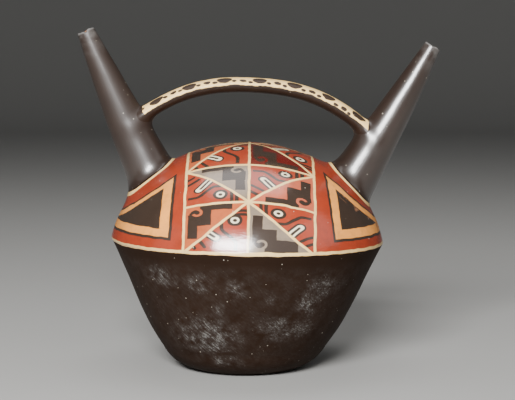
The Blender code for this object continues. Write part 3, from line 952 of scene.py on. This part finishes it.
# A band of 7 rows runs from the front keel over the crown to the back one. Its middle line and its rows'
# diagonals part it into triangles, in which p and q run from the square corner along the two legs
BAND = """
phi = atan2((z - centre) / half_height, -y / half_width)
run = arc * (phi - swell * sin(2 * phi)) - start
right = x > 0
width = left_width + right * (right_width - left_width)
out = abs(x) / width
from_crown = run / pitch - 3.5
gathered = most(0, least(1.5 * abs(from_crown), 0.29 * (1.5 - abs(from_crown)), 0.3))
rows = 3.5 + from_crown + sign(from_crown) * gathered
droop = (0.035 + 0.045 * right) * out * out * clamped(1 - abs(rows - 1))
rows = rows + droop
row = floor(rows)
up = fraction(rows)
odd = row % 2
rise = abs(odd - up)
upper = out + rise > 1
p = abs(upper - out)
q = abs(upper - rise)
fret_here = abs(upper - abs(right - odd))
swap = (1 - odd) * (1 - right * (row < 1))
a = p + swap * (q - p)
b = q + swap * (p - q)
beyond = abs(x) - width
to_row = least(up, 1 - up) * pitch
to_diagonal = abs(out + rise - 1) * slant
line = least(abs(beyond), most(beyond, least(abs(x), to_row, to_diagonal)))
lines = edge(half_line - line)
in_band = beyond < 0
"""

# An eye, a mouth, a wave between them and strokes in the corners, set a little differently left of the line
FACE = """
first = (1 - right) * (row < 1)
eye = away(a - 0.555 - 0.065 * first, b - 0.20 - 0.01 * first)
bend = clamped((a - 0.18) / 0.30)
wave_line = 0.19 + 0.22 * bend * bend * (3 - 2 * bend)
wave_slope = 4.4 * bend * (1 - bend)
wave = abs(b - wave_line) / sqrt(1 + wave_slope * wave_slope)
wave = most(wave, 0.08 - a, a - 0.58)
bars = least(abs(a - 0.735), abs(a - 0.815))
a = a - 0.075 * first
b = b + (1 - right) * (0.12 * odd - 0.07)
mouth = stroke(a, b, 0.42, 0.69, 0.215, 0.42)
slot = stroke(a, b, 0.40, 0.67, 0.238, 0.445)
cheek = least(stroke(a, b, 0.21, 0.72, 0.04, 0.60), stroke(a, b, 0.12, 0.815, 0.02, 0.75))
brown = edge(leg * most(0.029 - least(wave, cheek, bars), 0.116 - eye, 0.083 - mouth))
white = edge(leg * most(0.067 - eye, 0.051 - mouth))
pupil = edge(leg * most(0.032 - eye, 0.021 - slot))
"""

# A stepped fret of three bars. Its lowest bar curls back on itself as a wave does, round a hooked gap
FRET = """
arm = box(p, q, 0.24, 0.75, -0.1, 0.14 + 0.12 * right * (row < 1))
block = box(p, q, 0.08, 0.425, -0.1, 0.46)
post = box(p, q, 0.06, 0.215, 0.20, 0.72)
hook = away(p - 0.20, q - 0.165)
turns = fraction(atan2(q - 0.165, p - 0.20) / 6.2832)
reach = 0.108 - 0.21 * least(most(turns - 0.5, 0), 0.3)
gap = least(0.0215 - abs(hook - 0.0665), 0.42 * (0.30 - abs(fraction(turns + 0.375) - 0.5)))
corner = least(0.245 - p, 0.165 - q, hook - reach)
dark = edge(leg * -least(arm, block, post)) * (1 - edge(leg * most(gap, corner)))
"""

# The panel beside the band: a three-sided frame of brown outline, tan band and brown heart
PANEL = """
side = pick(42.9, 44.7) + (pick(121.3, 123.3) - z) * pick(0.034, 0.139)
from_side = abs(x) - side
from_foot = z - pick(85.4, 85.8)
from_slope = pick(121.3, 124.1) - pick(0.703, 0.841) * (abs(x) - pick(42.9, 44.7)) - z
outline = edge(least(from_side, from_foot, from_slope))
frame = edge(least(from_side - pick(1.8, 1.4), from_foot - 1.6, from_slope - 0.85))
heart = edge(least(from_side - pick(7.3, 5.8), from_foot - pick(5.9, 6.7), from_slope - pick(3.0, 3.5)))
"""

# Slips behind the frets, row by row from the front keel
LEFT_GROUNDS = ("orange", "grey", "orange", "maroon", "salmon", "grey", "orange")
RIGHT_GROUNDS = ("grey", "salmon", "maroon", "orange", "grey", "salmon", "grey")


def painted_material(scene):
    """Several clay slips painted over the leather-hard dome and burnished together: flat colours with a soft
    polish, brush edges that waver, worn flecks and dirt blotches, and painted shade that darkens the keel
    line towards its ends."""
    body, pattern, colours = scene.vessel_body, scene.vessel_pattern, scene.vessel_colours
    half_width, half_height, centre = (size * MM for size in dome_ellipse(body))
    tree, place = new_material(PAINTED)
    x, y, z = wavered(tree, place, 8, pattern.waver * MM)

    def given(text, **values):
        return worked_out(tree, "value = " + text, **values)["value"]

    def away(a, b):
        return given("sqrt(a * a + b * b)", a=a, b=b)

    def stroke(a, b, from_a, from_b, to_a, to_b):
        run_a, run_b = to_a - from_a, to_b - from_b
        share = given(
            "clamped(((a - c) * e + (b - d) * f) / g)",
            a=a, b=b, c=from_a, d=from_b, e=run_a, f=run_b, g=run_a**2 + run_b**2,
        )
        return away(
            given("a - c - e * share", a=a, c=from_a, e=run_a, share=share),
            given("b - d - f * share", b=b, d=from_b, f=run_b, share=share),
        )

    def box(a, b, low_a, high_a, low_b, high_b):
        return given(
            "most(low_a - a, a - high_a, low_b - b, b - high_b)", a=a, b=b,
            low_a=low_a, high_a=high_a, low_b=low_b, high_b=high_b,
        )

    def edge(depth):
        return given("clamped(0.5 + depth / soft)", depth=depth, soft=SOFT_EDGE)

    def pick(left, right):
        return given("left + at_right * change", left=left, at_right=band["right"], change=right - left)

    left_width, right_width, pitch = pattern.left_width * MM, pattern.right_width * MM, pattern.pitch * MM
    band = worked_out(
        tree, BAND, x=x, y=y, z=z, centre=centre, half_height=half_height, half_width=half_width,
        arc=sqrt((half_width**2 + half_height**2) / 2),
        swell=(half_width**2 - half_height**2) / (4 * (half_width**2 + half_height**2)),
        start=pattern.first_row * MM, pitch=pitch, left_width=left_width, right_width=right_width,
        half_line=pattern.line * MM / 2, edge=edge,
        slant=pitch * left_width / sqrt(pitch**2 + left_width**2),
    )
    shapes = {"leg": LEG, "stroke": stroke, "away": away, "box": box, "edge": edge, "pick": pick}
    face = worked_out(tree, FACE, **{**band, **shapes})
    fret = worked_out(tree, FRET, **{**band, **shapes})
    blotch = add(tree, "ShaderNodeTexNoise", {"Vector": place, **BLOTCH}).outputs[0]
    seam = add(tree, "ShaderNodeAttribute", attribute_name="seam").outputs["Fac"]
    panel = worked_out(tree, PANEL, **{**band, **shapes})
    # Brown is laid over the painting in random dirt blotches, and as painted shade it darkens the cream keel
    # line towards its ends, where the line turns away from the light
    border = worked_out(
        tree,
        """
ring = edge(least(seam + ring_start, ring_edge - seam))
spout = edge(-seam - ring_start)
level = z - keel + 0.9 * clamped((-x - 25) / 45)
keel_line = edge(least(level + 0.2, 1.65 - level))
bowl = edge(-0.2 - level)
ground = (row + 0.5) / 7
pinkish = clamped((blotch - 0.5) * 4) * 0.4
soiled = clamped((blotch - 0.48) * 5) * 0.14 + keel_line * clamped((abs(x) - 30) / 50) * 0.3
chips = clamped(1.3 - abs(from_slope - 4.6) / 1.6) * clamped((blotch - 0.56) * 15)
chipped = right * (from_side > 4.5) * chips
""",
        **{**panel, "seam": seam, "keel": body.keel_height * MM, "blotch": blotch},
        ring_start=RING_START, ring_edge=pattern.ring * MM - RING_START,
    )
    grounds = []
    for order in (LEFT_GROUNDS, RIGHT_GROUNDS):
        ramp = add(tree, "ShaderNodeValToRGB", [border["ground"]])
        stops = ramp.color_ramp.elements
        ramp.color_ramp.interpolation = "CONSTANT"
        stops[0].color = (*getattr(colours, order[0]), 1)
        stops.remove(stops[1])
        for k, name in enumerate(order[1:], 1):
            stops.new(k / len(order)).color = (*getattr(colours, name), 1)
        grounds.append(ramp.outputs[0])
    names = ("dark", "line", "tan", "red", "bright", "fret", "white")
    dark, line, tan_slip, red, bright, brown, white = [(*getattr(colours, name), 1) for name in names]
    frets = mixed(tree, grounds[0], (band["right"], grounds[1]), (fret["dark"], brown))
    salmon, bare = (*colours.salmon, 1), (*colours.clay, 1)
    faces = mixed(
        tree, bright, (border["pinkish"], salmon), (face["brown"], brown), (face["white"], white),
        (face["pupil"], brown),
    )
    cells = mixed(tree, faces, (band["fret_here"], frets))
    panels = mixed(
        tree, red, (panel["outline"], brown), (panel["frame"], tan_slip), (panel["heart"], brown),
        (border["chipped"], bare),
    )
    painting = mixed(
        tree, panels, (band["in_band"], cells), (band["lines"], line), (border["ring"], line),
        (border["keel_line"], line), (border["soiled"], brown), (border["spout"], dark),
        (border["bowl"], dark),
    )
    polish = worked_out(tree, "polish = 1 - bowl", bowl=border["bowl"])["polish"]
    surfaced(tree, painting, place, (place, (0.3, 0.3, 1.2)), 0.2, polish=polish)


class VESSEL_OT_stage(bpy.types.Operator):
    """Stands the vessel on a plain pale floor, under soft studio light, before the camera"""

    bl_idname = "vessel.stage"
    bl_label = "Set the stage"

    def execute(self, context):
        self.floor()
        self.lights(context.scene)
        self.camera(context.scene)
        return {"FINISHED"}

    def floor(self):
        paper = bpy.data.materials.new("Matt pale backdrop paper")
        paper.use_nodes = True
        shader = paper.node_tree.nodes["Principled BSDF"]
        shader.inputs["Base Color"].default_value = (*linear("#a5a4a1"), 1)
        shader.inputs["Roughness"].default_value = 0.8
        radius, sweep = 3.0, 1.5
        outline = [Vector((0, 0)), Vector((radius, 0))]
        for k in range(1, SWEEP_STEPS + 1):
            turn = pi / 2 * k / SWEEP_STEPS
            outline.append(Vector((radius + sweep * sin(turn), sweep * (1 - cos(turn)))))
        outline.append(Vector((radius + sweep, 3 * sweep)))
        floor = turned("backdrop", outline, FLOOR_SEGMENTS, paper)
        floor.data.shade_smooth()

    def lights(self, scene):
        target = Vector((0, 0, 0.10))
        for name, place, size, power in (
            ("key softbox", (-0.26, -1.21, 0.70), (0.62, 0.30), 46.0),
            ("left softbox", (-1.30, -0.45, 0.55), (0.50, 0.90), 0.5),
            ("front softbox", (0.60, -1.30, 0.90), (1.40, 1.00), 2.4),
            ("right softbox", (1.30, -0.45, 0.90), (0.80, 0.80), 1.8),
            ("top softbox", (0.0, 0.20, 1.60), (1.20, 0.80), 8.0),
        ):
            light = bpy.data.lights.new(name, "AREA")
            light.shape = "RECTANGLE"
            light.size, light.size_y = size
            light.energy = power
            obj = bpy.data.objects.new(name, light)
            obj.location = place
            obj.rotation_euler = (target - Vector(place)).to_track_quat("-Z", "Y").to_euler()
            scene.collection.objects.link(obj)
        world = bpy.data.worlds.new("studio")
        world.use_nodes = True
        world.node_tree.nodes["Background"].inputs["Color"].default_value = (*linear("#dfe3e8"), 1)
        world.node_tree.nodes["Background"].inputs["Strength"].default_value = 0.10
        scene.world = world

    def camera(self, scene):
        """Looks a little down, so that the middle of the image meets the ray that it met in a level view."""
        across = (IMAGE_WIDTH / 2 - AXIS_X) / FOCAL_PIXELS
        down = (IMAGE_HEIGHT / 2 - HORIZON_Y) / FOCAL_PIXELS
        data = bpy.data.cameras.new("camera")
        data.sensor_width = SENSOR_WIDTH
        data.lens = SENSOR_WIDTH * FOCAL_PIXELS / IMAGE_WIDTH * sqrt(1 + down**2)
        camera = bpy.data.objects.new("camera", data)
        camera.location = (0, -CAMERA_DISTANCE, CAMERA_HEIGHT)
        camera.rotation_euler = Vector((across, 1, -down)).to_track_quat("-Z", "Y").to_euler()
        scene.collection.objects.link(camera)
        scene.camera = camera


class VESSEL_PT_panel(bpy.types.Panel):
    """Sizes, colours and steps of the vessel"""

    bl_label = "Double-spout vessel"
    bl_space_type = "VIEW_3D"
    bl_region_type = "UI"
    bl_category = "Vessel"

    def draw(self, context):
        for operator in OPERATORS:
            self.layout.operator(operator.bl_idname)
        for name, (title, kind) in SETTINGS.items():
            box = self.layout.box()
            box.label(text=title)
            for field in kind.__annotations__:
                box.prop(getattr(context.scene, name), field)


SETTINGS = {
    "vessel_body": ("Body", BodySizes),
    "vessel_spouts": ("Spouts", SpoutSizes),
    "vessel_strap": ("Strap", StrapSizes),
    "vessel_pattern": ("Painting", PatternSizes),
    "vessel_colours": ("Slips", SlipColours),
}
OPERATORS = (VESSEL_OT_form, VESSEL_OT_stage)
CLASSES = (*(kind for _, kind in SETTINGS.values()), *OPERATORS, VESSEL_PT_panel)


def register():
    for kind in CLASSES:
        bpy.utils.register_class(kind)
    for name, (_, kind) in SETTINGS.items():
        setattr(bpy.types.Scene, name, bpy.props.PointerProperty(type=kind))


def unregister():
    for name in SETTINGS:
        delattr(bpy.types.Scene, name)
    for kind in reversed(CLASSES):
        bpy.utils.unregister_class(kind)


def main():
    register()
    bpy.ops.vessel.form()
    bpy.ops.vessel.stage()


if __name__ == "__main__":
    main()
